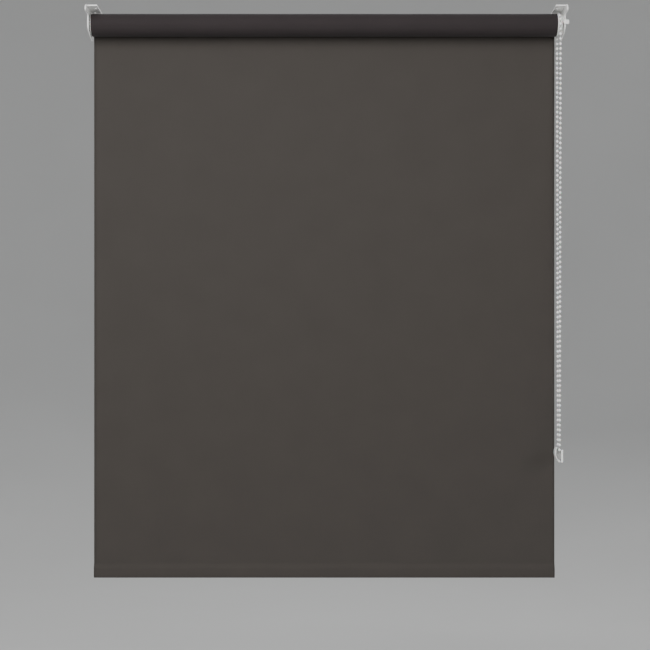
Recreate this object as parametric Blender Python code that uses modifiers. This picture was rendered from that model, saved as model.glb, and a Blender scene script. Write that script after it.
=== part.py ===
"""A chain-operated roller blind, in metres, +Z up, +X along the roller, +Y towards the window.

The origin is in the ceiling plane that the top flanges are screwed to, midway between the two
brackets and straight above the roller's axis. The fabric leaves the back of the roll, so a positive
turn about +X winds it up. The chain drive is at +X, and the sprung idle pin is at -X.
"""

import math

import bmesh
import bpy
from mathutils import Vector

MM = 0.001

# Clearances
GAP = 0.3 * MM                 # between pieces that touch or run on each other
CHAIN_GAP = 0.3 * MM           # from a bead to what guides it

# The whole blind
BRACKET_WIDTH = 800 * MM       # over the outer faces of the two side plates
AXIS_DROP = 25 * MM            # from the ceiling plane to the roller's axis
HEM_BOTTOM_DROP = 959.2 * MM   # from the ceiling plane to the foot of the hem

# Brackets: a steel strip bent once, its flange on the ceiling and its plate at the roller's end
PLATE_WALL = 2 * MM
BEND_RADIUS = 2.6 * MM         # outside of the bend
FLANGE_REACH = 18.5 * MM       # from the plate's outer face inwards
PLATE_REAR = 26 * MM           # how far the plate reaches behind the axis
PLATE_DROP = 20.5 * MM         # how far it reaches below the axis
PLATE_FRONT = 20.5 * MM        # how far its round part reaches in front of the axis
FRONT_EDGE_DROP = 5 * MM       # where its front edge starts to curve back, below the axis
FLANGE_FRONT = 34 * MM         # how far the flange reaches in front of the axis
NOSE_FRONT = 45 * MM           # and the plate's round nose
NOSE_HEIGHT = 12.5 * MM
NOSE_CORNER = 4 * MM
NOSE_FILLET = 4.5 * MM
SCREW_HOLE_R = 2.25 * MM
SCREW_HOLES = ((14.4 * MM, -18 * MM), (8.7 * MM, 7 * MM))   # from the outer face inwards, and Y

# Roller tube, its keyway, and the fabric
TUBE_R = 16 * MM
TUBE_WALL = 1.2 * MM
KEYWAY_WIDTH = 5.2 * MM
KEYWAY_DEPTH = 2.4 * MM
FABRIC_THICKNESS = 0.5 * MM
WOUND_DEPTH = 2.4 * MM         # of the fabric that is still on the tube
TUBE_SHORT_LEFT = 0.2 * MM     # how far the tube stops inside the fabric's edge
TUBE_SHORT_RIGHT = 0.7 * MM

# Hem, weight bar and its caps
HEM_HEIGHT = 20 * MM
HEM_DEPTH = 7.5 * MM
BAR_WALL = 1.2 * MM
BAR_SHORT = 1.8 * MM           # how far the bar stops inside the pocket's ends
CAP_WALL = 1.3 * MM
CAP_TONGUE = 11 * MM

# Idle end
PIN_R = 2.5 * MM
PIN_COLLAR_R = 4.6 * MM
PIN_COLLAR = 2 * MM
PIN_TIP_INSET = 0.3 * MM       # the tip's distance from the plate's outer face
PIN_TAIL = 6 * MM              # behind the collar
BUSH_WALL = 1.2 * MM
BUSH_FLANGE_R = 7 * MM
BUSH_FLANGE = 0.8 * MM
PLUG_FLANGE = 1.1 * MM
END_PLAY = 0.4 * MM            # between the bush's flange and the plug's
FABRIC_INSET = 0.1 * MM        # from the plug's flange to the fabric's edge
PLUG_NOSE = 7 * MM             # bearing length of the pin behind the plug's flange
PLUG_LENGTH = 25 * MM
SPRING_CHAMBER_R = 5 * MM
IDLE_SPRING_R = 3.8 * MM
IDLE_SPRING_WIRE = 1.0 * MM
IDLE_SPRING_TURNS = 6
SPRING_SEAT = 1.5 * MM

# Ball chain: its pockets set the pitch radii of the wheel and the pulley
BEAD_PITCH = 8.3 * MM
BEAD_R = 2.3 * MM
CHAIN_CORD_R = 0.9 * MM
CHAIN_BEADS = 183
WHEEL_POCKETS = 13
PULLEY_POCKETS = 6
POCKET_R = BEAD_R + 0.25 * MM
TOOTH_GAP = 0.37 * MM          # between the teeth's tops and the chain's cord
WHEEL_LEAD = 7.5 * MM          # where the plain strand starts, below the wheel's tangent point
PULLEY_LEAD = 5 * MM

# Chain drive
WHEEL_LIP = 1.1 * MM           # how far the wheel's flange stands out of the chain's pitch circle
RIM_LIP = 0.3 * MM             # and its rim, on the plate's side
WHEEL_FLANGE = 1.2 * MM
WHEEL_RIM = 0.9 * MM
SPINDLE_R = 6 * MM
HUB_WALL = 1.6 * MM
SPRING_WIRE = 1.3 * MM
CLUTCH_SPRING_TURNS = 6
CLUTCH_SPRING_LENGTH = 10 * MM
HUB_LENGTH = 28 * MM
CROWN_LENGTH = 34 * MM
DISC_R = 16.5 * MM
DISC_FLAT = 6.5 * MM           # how far in front of the axis the disc is cut off for the latch
PEG_SIDE = 8 * MM
CLIP_GROOVE = 1.6 * MM
CLIP_R = 8 * MM
CLIP_SEAT_R = 4.6 * MM

# Release latch on the right plate
LATCH_PIVOT = (-9.9 * MM, 11 * MM)     # Y, and height above the roller's axis
LATCH_ARM_R = 2.9 * MM
LATCH_WALL = 1.7 * MM
LATCH_PIN_R = 1.2 * MM
LATCH_TAB_DEPTH = 3.4 * MM
LATCH_TAB_HEIGHT = 7.3 * MM
LATCH_TAB_TOP = 3.2 * MM               # above the roller's axis
LATCH_TAB_OUT = 5.0 * MM               # beyond the plate's outer face

# Chain tensioner
BASE_IN = 3.0 * MM             # its back face, from the plate's outer face inwards
BASE_DEPTH = 3.3 * MM          # over its front and rear rims
BASE_HALF_WIDTH = 11.5 * MM
BASE_RIM = 1.0 * MM
BASE_ABOVE = 4.2 * MM          # above the pulley's axis
BASE_BELOW = 17.4 * MM
BASE_CORNER = 2.2 * MM
BASE_SCREW_R = 1.8 * MM
BASE_SCREW_Y = 7.8 * MM
BASE_SCREW_BELOW = 13.2 * MM
AXLE_R = 2 * MM
PULLEY_DIP = 0.3 * MM          # how far its flanges stay inside the chain's pitch circle
PULLEY_FLANGE = 0.6 * MM
COVER_WALL = 1.5 * MM
COVER_HALF_WIDTH = 8 * MM
COVER_BOSS_R = 4 * MM
COVER_CLEARANCE = 2.7 * MM     # from the pulley to the wall, where it bulges most
COVER_RISE = 9 * MM            # how far its ellipse reaches beyond the chain
COVER_CENTRE_IN = 2 * MM       # its centre, from the plate's outer face
COVER_CENTRE_BELOW = 0.7 * MM  # and below the pulley's axis
COVER_TOP = 8.5 * MM           # top and bottom of its wall, from the pulley's axis
COVER_FOOT = 16.8 * MM
FOOT_WIDTH = 3.3 * MM
FOOT_HEIGHT = 5 * MM
FOOT_IN = 10.8 * MM            # the foot's inner face, from the plate's outer face
FOOT_TAB_HALF = 5 * MM
CRADLE_WALL = 0.8 * MM
CRADLE_TOP = 1.5 * MM          # below the pulley's axis
CRADLE_SPACE = 0.35 * MM       # from the beads to the cheeks

# What follows from them
PLATE_OUT = BRACKET_WIDTH / 2
PLATE_IN = PLATE_OUT - PLATE_WALL
AXIS_Z = -AXIS_DROP
GROOVE_HALF = BEAD_R + CHAIN_GAP
LATCH_OUT = PLATE_IN - 4 * GAP / 3
LATCH_IN = LATCH_OUT - LATCH_WALL
RIM_OUT = LATCH_IN - 2 * GAP
CHAIN_X = RIM_OUT - WHEEL_RIM - GROOVE_HALF
WHEEL_WEB = CHAIN_X - GROOVE_HALF - WHEEL_FLANGE
BUSH_FACE = -PLATE_IN + GAP + BUSH_FLANGE
FABRIC_LEFT = BUSH_FACE + END_PLAY + PLUG_FLANGE + FABRIC_INSET
FABRIC_RIGHT = WHEEL_WEB - GAP
TUBE_LEFT = FABRIC_LEFT + TUBE_SHORT_LEFT
TUBE_RIGHT = FABRIC_RIGHT - TUBE_SHORT_RIGHT
TUBE_BORE_R = TUBE_R - TUBE_WALL
ROLL_R = TUBE_R + GAP + WOUND_DEPTH
SHEET_Y = ROLL_R + GAP + FABRIC_THICKNESS / 2
WHEEL_R = WHEEL_POCKETS * BEAD_PITCH / (2 * math.pi)
PULLEY_R = PULLEY_POCKETS * BEAD_PITCH / (2 * math.pi)
WHEEL_FLANGE_R = WHEEL_R + WHEEL_LIP
WHEEL_RIM_R = WHEEL_R + RIM_LIP
PULLEY_FLANGE_R = PULLEY_R - PULLEY_DIP
PULLEY_LOW = CHAIN_X - GROOVE_HALF - PULLEY_FLANGE
PULLEY_HIGH = CHAIN_X + GROOVE_HALF + PULLEY_FLANGE
COVER_CENTRE_X = PLATE_OUT - COVER_CENTRE_IN
COVER_BULGE = COVER_CENTRE_X - PULLEY_LOW + COVER_CLEARANCE + COVER_WALL / 2
SPRING_R = SPINDLE_R + GAP + SPRING_WIRE / 2
HUB_BORE_R = SPRING_R + SPRING_WIRE / 2 + GAP
HUB_R = HUB_BORE_R + HUB_WALL
BORE_R = PIN_R + GAP
SEGMENTS = 48
SMALL_SEGMENTS = 24


def chain_centres(length, big, small):
    """Distance between the axes of two wheels that a loop of this length goes round."""
    distance = length / 2
    for _ in range(30):
        lean = math.asin((big - small) / distance)
        straight = (length - math.pi * (big + small) - 2 * (big - small) * lean) / 2
        distance = math.hypot(straight, big - small)
    return distance


CHAIN_CENTRES = chain_centres(CHAIN_BEADS * BEAD_PITCH, WHEEL_R, PULLEY_R)
PULLEY_Z = AXIS_Z - CHAIN_CENTRES
STRAND_LEAN = math.asin((WHEEL_R - PULLEY_R) / CHAIN_CENTRES)


# Tools

def new_collection(name):
    collection = bpy.data.collections.new(name)
    bpy.context.scene.collection.children.link(collection)
    return collection


def finish_material(name, colour, roughness, metallic=0.0):
    material = bpy.data.materials.new(name)
    material.use_nodes = True
    shader = material.node_tree.nodes["Principled BSDF"]
    shader.inputs["Base Color"].default_value = (*colour, 1)
    shader.inputs["Roughness"].default_value = roughness
    shader.inputs["Metallic"].default_value = metallic
    return material


def add_part(name, data, finish, parent=None):
    """A named sub-part with its own material, in the blind's collection."""
    part = bpy.data.objects.new(name, data)
    colour, roughness, metallic = finish
    data.materials.clear()
    data.materials.append(finish_material(name, colour, roughness, metallic))
    PARTS.objects.link(part)
    part.parent = parent
    return part


def add_cutter(name, data, parent=None):
    """A guide for a Boolean, which isn't a part of the blind."""
    cutter = bpy.data.objects.new(name, data)
    CUTTERS.objects.link(cutter)
    cutter.hide_render = True
    cutter.display_type = "WIRE"
    cutter.parent = parent
    return cutter


def combine(part, tool, operation):
    step = part.modifiers.new(f"{operation.lower()} {tool.name}", "BOOLEAN")
    step.object = tool
    step.operation = operation
    step.solver = "EXACT"


def add_axle(name, height):
    """An empty on an axis along X: what hangs on it is turned about its own Z."""
    axle = bpy.data.objects.new(name, None)
    PARTS.objects.link(axle)
    axle.location = (0, 0, height)
    axle.rotation_euler = (0, math.pi / 2, 0)
    return axle


def smooth(mesh):
    mesh.shade_smooth()
    mesh.set_sharp_from_angle(angle=math.radians(35))
    return mesh


def turned(part, segments=SEGMENTS):
    """Turns a part's profile about its own Z."""
    screw = part.modifiers.new("turn", "SCREW")
    screw.axis = "Z"
    screw.steps = screw.render_steps = segments
    screw.use_merge_vertices = True
    screw.merge_threshold = 0.00001
    screw.use_smooth_shade = False
    return part


def profile_mesh(name, points, closed):
    """A profile of (radius, place along the axis), outer side from high to low."""
    mesh = bpy.data.meshes.new(name)
    corners = [(radius, 0, along) for radius, along in points]
    edges = [(i, i + 1) for i in range(len(corners) - 1)]
    if closed:
        edges.append((len(corners) - 1, 0))
    mesh.from_pydata(corners, edges, [])
    return mesh


def ring_profile(outer, inner, low, high):
    return [(outer, high), (outer, low), (inner, low), (inner, high)]


def box_mesh(name, low, high):
    """A block between two corners."""
    shape = bmesh.new()
    bmesh.ops.create_cube(shape, size=1)
    size = Vector(high) - Vector(low)
    bmesh.ops.scale(shape, vec=size, verts=shape.verts)
    bmesh.ops.translate(shape, vec=(Vector(high) + Vector(low)) / 2, verts=shape.verts)
    mesh = bpy.data.meshes.new(name)
    shape.to_mesh(mesh)
    shape.free()
    return mesh


def rod_mesh(name, radius, low, high, segments=SMALL_SEGMENTS):
    """A cylinder about Z from low to high."""
    shape = bmesh.new()
    bmesh.ops.create_cone(shape, cap_ends=True, segments=segments, radius1=radius,
                          radius2=radius, depth=high - low)
    bmesh.ops.translate(shape, vec=(0, 0, (high + low) / 2), verts=shape.verts)
    mesh = bpy.data.meshes.new(name)
    shape.to_mesh(mesh)
    shape.free()
    return smooth(mesh)


def outline_mesh(name, outlines, thickness):
    """A flat piece: the first outline is its edge and the others are holes, extruded along Z."""
    curve = bpy.data.curves.new(name, "CURVE")
    curve.dimensions = "2D"
    curve.fill_mode = "BOTH"
    curve.extrude = thickness / 2
    for outline in outlines:
        spline = curve.splines.new("POLY")
        spline.points.add(len(outline) - 1)
        for point, (x, y) in zip(spline.points, outline):
            point.co = (x, y, 0, 1)
        spline.use_cyclic_u = True
    guide = bpy.data.objects.new(name, curve)
    bpy.context.scene.collection.objects.link(guide)
    evaluated = guide.evaluated_get(bpy.context.evaluated_depsgraph_get())
    mesh = bpy.data.meshes.new_from_object(evaluated)
    bpy.data.objects.remove(guide)
    bpy.data.curves.remove(curve)
    shape = bmesh.new()
    shape.from_mesh(mesh)
    bmesh.ops.remove_doubles(shape, verts=shape.verts, dist=0.000001)
    bmesh.ops.recalc_face_normals(shape, faces=shape.faces)
    shape.to_mesh(mesh)
    shape.free()
    mesh.name = name
    return smooth(mesh)


def stand_in_yz(part, middle):
    """Turns a flat piece drawn in (Y, Z) to stand across X, with its middle at this X."""
    part.rotation_euler = (math.pi / 2, 0, math.pi / 2)
    part.location = (middle, 0, 0)
    return part


def stand_in_xz(part, middle=0.0):
    """Turns a flat piece drawn in (X, Z) to stand across Y."""
    part.rotation_euler = (math.pi / 2, 0, 0)
    part.location = (0, middle, 0)
    return part


def arc(centre, radii, start, end, steps):
    """Points on an ellipse from one angle to another, in degrees."""
    points = []
    for i in range(steps + 1):
        angle = math.radians(start + (end - start) * i / steps)
        points.append((centre[0] + radii[0] * math.cos(angle),
                       centre[1] + radii[1] * math.sin(angle)))
    return points


def circle(centre, radius, steps=SMALL_SEGMENTS):
    return arc(centre, (radius, radius), 0, 360 - 360 / steps, steps - 1)


def rounded_box(low, high, radius, steps=4):
    corners = (((high[0] - radius, high[1] - radius), 0), ((low[0] + radius, high[1] - radius), 90),
               ((low[0] + radius, low[1] + radius), 180), ((high[0] - radius, low[1] + radius), 270))
    points = []
    for centre, start in corners:
        points += arc(centre, (radius, radius), start, start + 90, steps)
    return points


def tube_curve(name, points, radius, resolution=2):
    """A rod of round section along points, with closed ends."""
    curve = bpy.data.curves.new(name, "CURVE")
    curve.dimensions = "3D"
    curve.bevel_depth = radius
    curve.bevel_resolution = resolution
    curve.use_fill_caps = True
    spline = curve.splines.new("POLY")
    spline.points.add(len(points) - 1)
    for point, place in zip(spline.points, points):
        point.co = (*place, 1)
    return curve


def coil_points(radius, low, high, turns, steps=14):
    """A helix about Z from low to high."""
    count = turns * steps
    return [(radius * math.cos(2 * math.pi * i / steps), radius * math.sin(2 * math.pi * i / steps),
             low + (high - low) * i / count) for i in range(count + 1)]


def pocket_cutter(name, pitch_radius, count, parent):
    """Balls on a wheel's pitch circle, which cut the pockets that the beads sit in."""
    shape = bmesh.new()
    for i in range(count):
        angle = 2 * math.pi * i / count
        ball = bmesh.ops.create_uvsphere(shape, u_segments=12, v_segments=8, radius=POCKET_R)
        place = (pitch_radius * math.cos(angle), pitch_radius * math.sin(angle), CHAIN_X)
        bmesh.ops.translate(shape, vec=place, verts=ball["verts"])
    mesh = bpy.data.meshes.new(name)
    shape.to_mesh(mesh)
    shape.free()
    return add_cutter(name, mesh, parent)


# Finishes: colour, roughness, metallic
PAINTED_STEEL = ((0.72, 0.72, 0.71), 0.4, 0.0)
WHITE_PLASTIC = ((0.78, 0.78, 0.77), 0.35, 0.0)
GREY_PLASTIC = ((0.32, 0.32, 0.31), 0.45, 0.0)
DARK_PLASTIC = ((0.05, 0.045, 0.04), 0.5, 0.0)
BARE_STEEL = ((0.56, 0.56, 0.55), 0.3, 1.0)
ALUMINIUM = ((0.62, 0.62, 0.61), 0.35, 1.0)
FABRIC_FACE = ((0.072, 0.063, 0.056), 0.85, 0.0)
FABRIC_BACK = ((0.041, 0.033, 0.033), 0.8, 0.0)


# Brackets

def side_outline():
    """The side plate in (Y, Z): a nose under the flange, then a round part down to behind the axis."""
    nose_bottom = -NOSE_HEIGHT
    front = -PLATE_FRONT
    nose_side = nose_bottom + NOSE_CORNER
    points = [(PLATE_REAR, 0)]
    points += arc((-FLANGE_FRONT, nose_side), (NOSE_FRONT - FLANGE_FRONT, -nose_side), 90, 170, 10)
    points += arc((-NOSE_FRONT + NOSE_CORNER, nose_side),
                  (NOSE_CORNER, NOSE_CORNER), 180, 270, 8)
    points += arc((front - NOSE_FILLET, nose_bottom - NOSE_FILLET),
                  (NOSE_FILLET, NOSE_FILLET), 90, 0, 8)
    curve_top = AXIS_Z - FRONT_EDGE_DROP
    points += arc((PLATE_REAR, curve_top),
                  (PLATE_REAR + PLATE_FRONT, PLATE_DROP - FRONT_EDGE_DROP), 180, 270, 22)
    return points


def bend_outline(side):
    """The bent strip seen along Y: the plate hangs from the flange, with a round outer corner."""
    outer = side * PLATE_OUT
    start, end = (0, 90) if side > 0 else (180, 90)
    bottom = AXIS_Z - PLATE_DROP - PLATE_WALL
    points = [(outer - side * FLANGE_REACH, 0), (outer - side * FLANGE_REACH, -PLATE_WALL)]
    inside = BEND_RADIUS - PLATE_WALL
    centre = (outer - side * BEND_RADIUS, -BEND_RADIUS)
    points += arc(centre, (inside, inside), end, start, 6)
    points += [(outer - side * PLATE_WALL, bottom), (outer, bottom)]
    points += arc(centre, (BEND_RADIUS, BEND_RADIUS), start, end, 8)
    return points


def make_bracket(name, side):
    depth = NOSE_FRONT + PLATE_REAR
    strip = outline_mesh(name, [bend_outline(side)], depth)
    bracket = stand_in_xz(add_part(name, strip, PAINTED_STEEL), (PLATE_REAR - NOSE_FRONT) / 2)
    shape = outline_mesh(f"{name}_side_shape", [side_outline()], 2 * FLANGE_REACH)
    combine(bracket, stand_in_yz(add_cutter(f"{name}_side_shape", shape), side * PLATE_OUT), "INTERSECT")
    trim = box_mesh(f"{name}_trim", (-FLANGE_REACH, -2 * NOSE_FRONT, -NOSE_HEIGHT),
                    (FLANGE_REACH, -FLANGE_FRONT, PLATE_WALL))
    cutter = add_cutter(f"{name}_trim", trim)
    cutter.location.x = side * (PLATE_IN - FLANGE_REACH)
    combine(bracket, cutter, "DIFFERENCE")
    for number, (inwards, y) in enumerate(SCREW_HOLES):
        drill = rod_mesh(f"{name}_screw_{number}", SCREW_HOLE_R, -2 * PLATE_WALL, PLATE_WALL)
        cutter = add_cutter(f"{name}_screw_{number}", drill)
        cutter.location = (side * (PLATE_OUT - inwards), y, 0)
        combine(bracket, cutter, "DIFFERENCE")
    return bracket


def make_brackets():
    left = make_bracket("left_bracket", -1)
    right = make_bracket("right_bracket", 1)
    seat_r = BORE_R + BUSH_WALL + GAP
    bush_seat = rod_mesh("bush_seat", seat_r, -PLATE_OUT - PLATE_WALL, -PLATE_OUT + 2 * PLATE_WALL)
    combine(left, add_cutter("bush_seat", bush_seat, ROLLER_AXLE), "DIFFERENCE")
    half = PEG_SIDE / 2 + GAP
    peg_seat = box_mesh("peg_seat", (-half, -half, PLATE_OUT - 2 * PLATE_WALL),
                        (half, half, PLATE_OUT + PLATE_WALL))
    combine(right, add_cutter("peg_seat", peg_seat, ROLLER_AXLE), "DIFFERENCE")
    pin_seat = rod_mesh("latch_pin_seat", LATCH_PIN_R + GAP, PLATE_OUT - 2 * PLATE_WALL,
                        PLATE_OUT + PLATE_WALL, 16)
    combine(right, add_cutter("latch_pin_seat", pin_seat, LATCH_AXLE), "DIFFERENCE")


# Roller and fabric

def keyed_outline(radius, key_half, key_floor, steps=SEGMENTS):
    """A circle whose top is notched by a keyway, drawn anticlockwise from the notch's far side."""
    corner = math.degrees(math.asin(key_half / radius))
    points = arc((0, 0), (radius, radius), 90 + corner, 450 - corner, steps)
    return points + [(key_half, key_floor), (-key_half, key_floor)]


def add_keyed(name, finish, radius, key_growth, low, high, holes):
    """A prism on the roller's axis with the tube's keyway, offset inwards by key_growth."""
    half = KEYWAY_WIDTH / 2 + key_growth
    floor = TUBE_R - KEYWAY_DEPTH - key_growth
    mesh = outline_mesh(name, [keyed_outline(radius, half, floor), *holes], high - low)
    part = stand_in_yz(add_part(name, mesh, finish), (low + high) / 2)
    part.location.z = AXIS_Z
    return part


def make_tube():
    inner = keyed_outline(TUBE_BORE_R, KEYWAY_WIDTH / 2 + TUBE_WALL,
                          TUBE_R - KEYWAY_DEPTH - TUBE_WALL)
    add_keyed("roller_tube", ALUMINIUM, TUBE_R, 0, TUBE_LEFT, TUBE_RIGHT, [inner])
    half = KEYWAY_WIDTH / 2 - GAP
    strip = box_mesh("fabric_spline", (TUBE_LEFT, -half, TUBE_R - KEYWAY_DEPTH + GAP),
                     (TUBE_RIGHT, half, TUBE_R - GAP / 3))
    spline = add_part("fabric_spline", strip, GREY_PLASTIC)
    spline.location.z = AXIS_Z


def make_fabric():
    roll = ring_profile(ROLL_R, TUBE_R + GAP, FABRIC_LEFT, FABRIC_RIGHT)
    turned(add_part("fabric_roll", profile_mesh("fabric_roll", roll, True), FABRIC_BACK,
                    ROLLER_AXLE), 72)
    half = FABRIC_THICKNESS / 2
    hem_top = -HEM_BOTTOM_DROP + HEM_HEIGHT
    sheet = box_mesh("fabric_sheet", (FABRIC_LEFT, -half, hem_top + GAP - AXIS_Z),
                     (FABRIC_RIGHT, half, 0))
    part = add_part("fabric_sheet", sheet, FABRIC_FACE)
    part.location = (0, SHEET_Y, AXIS_Z)


def oval(half_depth, half_height, steps=28):
    """A section in (Y, Z) that is flatter than an ellipse at its sides."""
    points = []
    for i in range(steps):
        angle = 2 * math.pi * i / steps
        across, up = math.cos(angle), math.sin(angle)
        points.append((half_depth * math.copysign(abs(across) ** 0.5, across),
                       half_height * math.copysign(abs(up) ** 0.8, up)))
    return points


def add_hem_piece(name, finish, outlines, low, high):
    mesh = outline_mesh(name, outlines, high - low)
    part = stand_in_yz(add_part(name, mesh, finish), (low + high) / 2)
    part.location.y = SHEET_Y
    part.location.z = -HEM_BOTTOM_DROP + HEM_HEIGHT / 2
    return part


def make_hem():
    depth, height = HEM_DEPTH / 2, HEM_HEIGHT / 2
    pocket_in = FABRIC_THICKNESS
    bar_out = pocket_in + GAP
    bar_in = bar_out + BAR_WALL
    tongue = bar_in + GAP
    pocket = [oval(depth, height), oval(depth - pocket_in, height - pocket_in)]
    add_hem_piece("hem_pocket", FABRIC_FACE, pocket, FABRIC_LEFT, FABRIC_RIGHT)
    bar_left, bar_right = FABRIC_LEFT + BAR_SHORT, FABRIC_RIGHT - BAR_SHORT
    bar = [oval(depth - bar_out, height - bar_out), oval(depth - bar_in, height - bar_in)]
    add_hem_piece("bottom_bar", ALUMINIUM, bar, bar_left, bar_right)
    for name, end, out in (("bar_cap_left", bar_left, -1), ("bar_cap_right", bar_right, 1)):
        near, far = end + out * GAP, end + out * (GAP + CAP_WALL)
        cap = add_hem_piece(name, DARK_PLASTIC, [oval(depth - bar_out, height - bar_out)],
                            min(near, far), max(near, far))
        inner = end - out * CAP_TONGUE
        low, high = min(inner, near), max(inner, near)
        plug = outline_mesh(f"{name}_tongue", [oval(depth - tongue, height - tongue)],
                            high - low + CAP_WALL)
        cutter = add_cutter(f"{name}_tongue", plug)
        stand_in_yz(cutter, (low + high + out * CAP_WALL / 2) / 2)
        cutter.location.y = cap.location.y
        cutter.location.z = cap.location.z
        combine(cap, cutter, "UNION")


# Idle end

def make_idle_end():
    bush_r = BORE_R + BUSH_WALL
    flange_out = BUSH_FACE - BUSH_FLANGE
    bush = [(BUSH_FLANGE_R, BUSH_FACE), (BUSH_FLANGE_R, flange_out), (bush_r, flange_out),
            (bush_r, -PLATE_OUT + PIN_TIP_INSET), (BORE_R, -PLATE_OUT + PIN_TIP_INSET),
            (BORE_R, BUSH_FACE)]
    turned(add_part("idle_bush", profile_mesh("idle_bush", bush, True), WHITE_PLASTIC,
                    ROLLER_AXLE), SMALL_SEGMENTS)

    plug_low = TUBE_LEFT
    nose_end = plug_low + PLUG_NOSE
    plug_high = plug_low + PLUG_LENGTH
    key = TUBE_WALL + GAP
    plug = add_keyed("idle_end_plug", WHITE_PLASTIC, TUBE_BORE_R - GAP, key, plug_low, plug_high,
                     [circle((0, 0), BORE_R)])
    rim = ring_profile(TUBE_R, BORE_R, plug_low - GAP - PLUG_FLANGE, plug_low - GAP)
    neck = ring_profile(SPRING_CHAMBER_R, BORE_R, plug_low - GAP - PLUG_FLANGE, plug_low + GAP)
    for name, ring in (("plug_rim", rim), ("plug_neck", neck)):
        cutter = add_cutter(name, profile_mesh(name, ring, True), ROLLER_AXLE)
        combine(plug, turned(cutter), "UNION")
    chamber = rod_mesh("spring_chamber", SPRING_CHAMBER_R, nose_end, plug_high + GAP)
    combine(plug, add_cutter("spring_chamber", chamber, ROLLER_AXLE), "DIFFERENCE")

    collar_low = nose_end + GAP
    collar_high = collar_low + PIN_COLLAR
    pin = [(0, collar_high + PIN_TAIL), (PIN_R, collar_high + PIN_TAIL), (PIN_R, collar_high),
           (PIN_COLLAR_R, collar_high), (PIN_COLLAR_R, collar_low), (PIN_R, collar_low),
           (PIN_R, -PLATE_OUT + PIN_TIP_INSET), (0, -PLATE_OUT + PIN_TIP_INSET)]
    turned(add_part("idle_pin", profile_mesh("idle_pin", pin, False), BARE_STEEL, ROLLER_AXLE),
           SMALL_SEGMENTS)

    seat_low = plug_high - SPRING_SEAT
    seat = rod_mesh("idle_spring_seat", SPRING_CHAMBER_R - GAP, seat_low, plug_high)
    add_part("idle_spring_seat", seat, WHITE_PLASTIC, ROLLER_AXLE)
    wire = IDLE_SPRING_WIRE / 2
    coil = coil_points(IDLE_SPRING_R, collar_high + wire + GAP, seat_low - wire - GAP,
                       IDLE_SPRING_TURNS, 12)
    add_part("idle_pin_spring", tube_curve("idle_pin_spring", coil, wire), BARE_STEEL, ROLLER_AXLE)


# Chain drive

def make_wheel():
    inner_face = CHAIN_X - GROOVE_HALF
    outer_face = CHAIN_X + GROOVE_HALF
    tooth_r = WHEEL_R - CHAIN_CORD_R - TOOTH_GAP
    hub_end = WHEEL_WEB - HUB_LENGTH
    spring_room = WHEEL_WEB - 2 * CLUTCH_SPRING_LENGTH - 4 * GAP
    wheel = [(WHEEL_RIM_R, RIM_OUT), (WHEEL_RIM_R, outer_face),
             (tooth_r, outer_face), (tooth_r, inner_face), (WHEEL_FLANGE_R, inner_face),
             (WHEEL_FLANGE_R, WHEEL_WEB), (HUB_R, WHEEL_WEB), (HUB_R, hub_end),
             (SPINDLE_R + GAP, hub_end), (SPINDLE_R + GAP, spring_room), (HUB_BORE_R, spring_room),
             (HUB_BORE_R, WHEEL_WEB), (SPINDLE_R + GAP, WHEEL_WEB), (SPINDLE_R + GAP, RIM_OUT)]
    part = turned(add_part("chain_wheel", profile_mesh("chain_wheel", wheel, True), WHITE_PLASTIC,
                           ROLLER_AXLE), 52)
    combine(part, pocket_cutter("wheel_pockets", WHEEL_R, WHEEL_POCKETS, ROLLER_AXLE), "DIFFERENCE")

    wire = SPRING_WIRE / 2
    for number, name in enumerate(("clutch_spring_inner", "clutch_spring_outer")):
        low = spring_room + GAP + number * (CLUTCH_SPRING_LENGTH + 2 * GAP) + wire
        high = low + CLUTCH_SPRING_LENGTH - SPRING_WIRE
        coil = coil_points(SPRING_R, low, high, CLUTCH_SPRING_TURNS)
        add_part(name, tube_curve(name, coil, wire), BARE_STEEL, ROLLER_AXLE)

    crown_high = TUBE_RIGHT + GAP
    add_keyed("tube_crown", GREY_PLASTIC, TUBE_BORE_R - GAP, TUBE_WALL + GAP,
              crown_high - CROWN_LENGTH, crown_high, [circle((0, 0), HUB_R + GAP, 32)])
    return hub_end


def make_core(hub_end):
    disc_in = RIM_OUT + GAP
    disc_out = PLATE_IN - GAP
    clip_high = hub_end - GAP
    clip_low = clip_high - CLIP_GROOVE
    tip = clip_low - CLIP_GROOVE
    core = [(0, disc_out), (DISC_R, disc_out), (DISC_R, disc_in), (SPINDLE_R, disc_in),
            (SPINDLE_R, clip_high), (CLIP_SEAT_R, clip_high), (CLIP_SEAT_R, clip_low),
            (SPINDLE_R, clip_low), (SPINDLE_R, tip), (0, tip)]
    part = turned(add_part("drive_core", profile_mesh("drive_core", core, False), WHITE_PLASTIC,
                           ROLLER_AXLE))
    half = PEG_SIDE / 2
    peg = box_mesh("core_peg", (-half, -half, disc_in), (half, half, PLATE_OUT - PIN_TIP_INSET))
    combine(part, add_cutter("core_peg", peg, ROLLER_AXLE), "UNION")
    room = box_mesh("latch_room", (-2 * DISC_R, -2 * DISC_R, disc_in - GAP / 2),
                    (2 * DISC_R, -DISC_FLAT, disc_out + GAP))
    combine(part, add_cutter("latch_room", room, ROLLER_AXLE), "DIFFERENCE")

    clip = ring_profile(CLIP_R, CLIP_SEAT_R + GAP, clip_low + GAP, clip_high - GAP / 3)
    ring = turned(add_part("core_clip", profile_mesh("core_clip", clip, True), BARE_STEEL,
                           ROLLER_AXLE), SMALL_SEGMENTS)
    mouth = box_mesh("clip_mouth", (-CLIP_SEAT_R / 2, 0, clip_low),
                     (CLIP_SEAT_R / 2, 2 * CLIP_R, clip_high))
    combine(ring, add_cutter("clip_mouth", mouth, ROLLER_AXLE), "DIFFERENCE")


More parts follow.
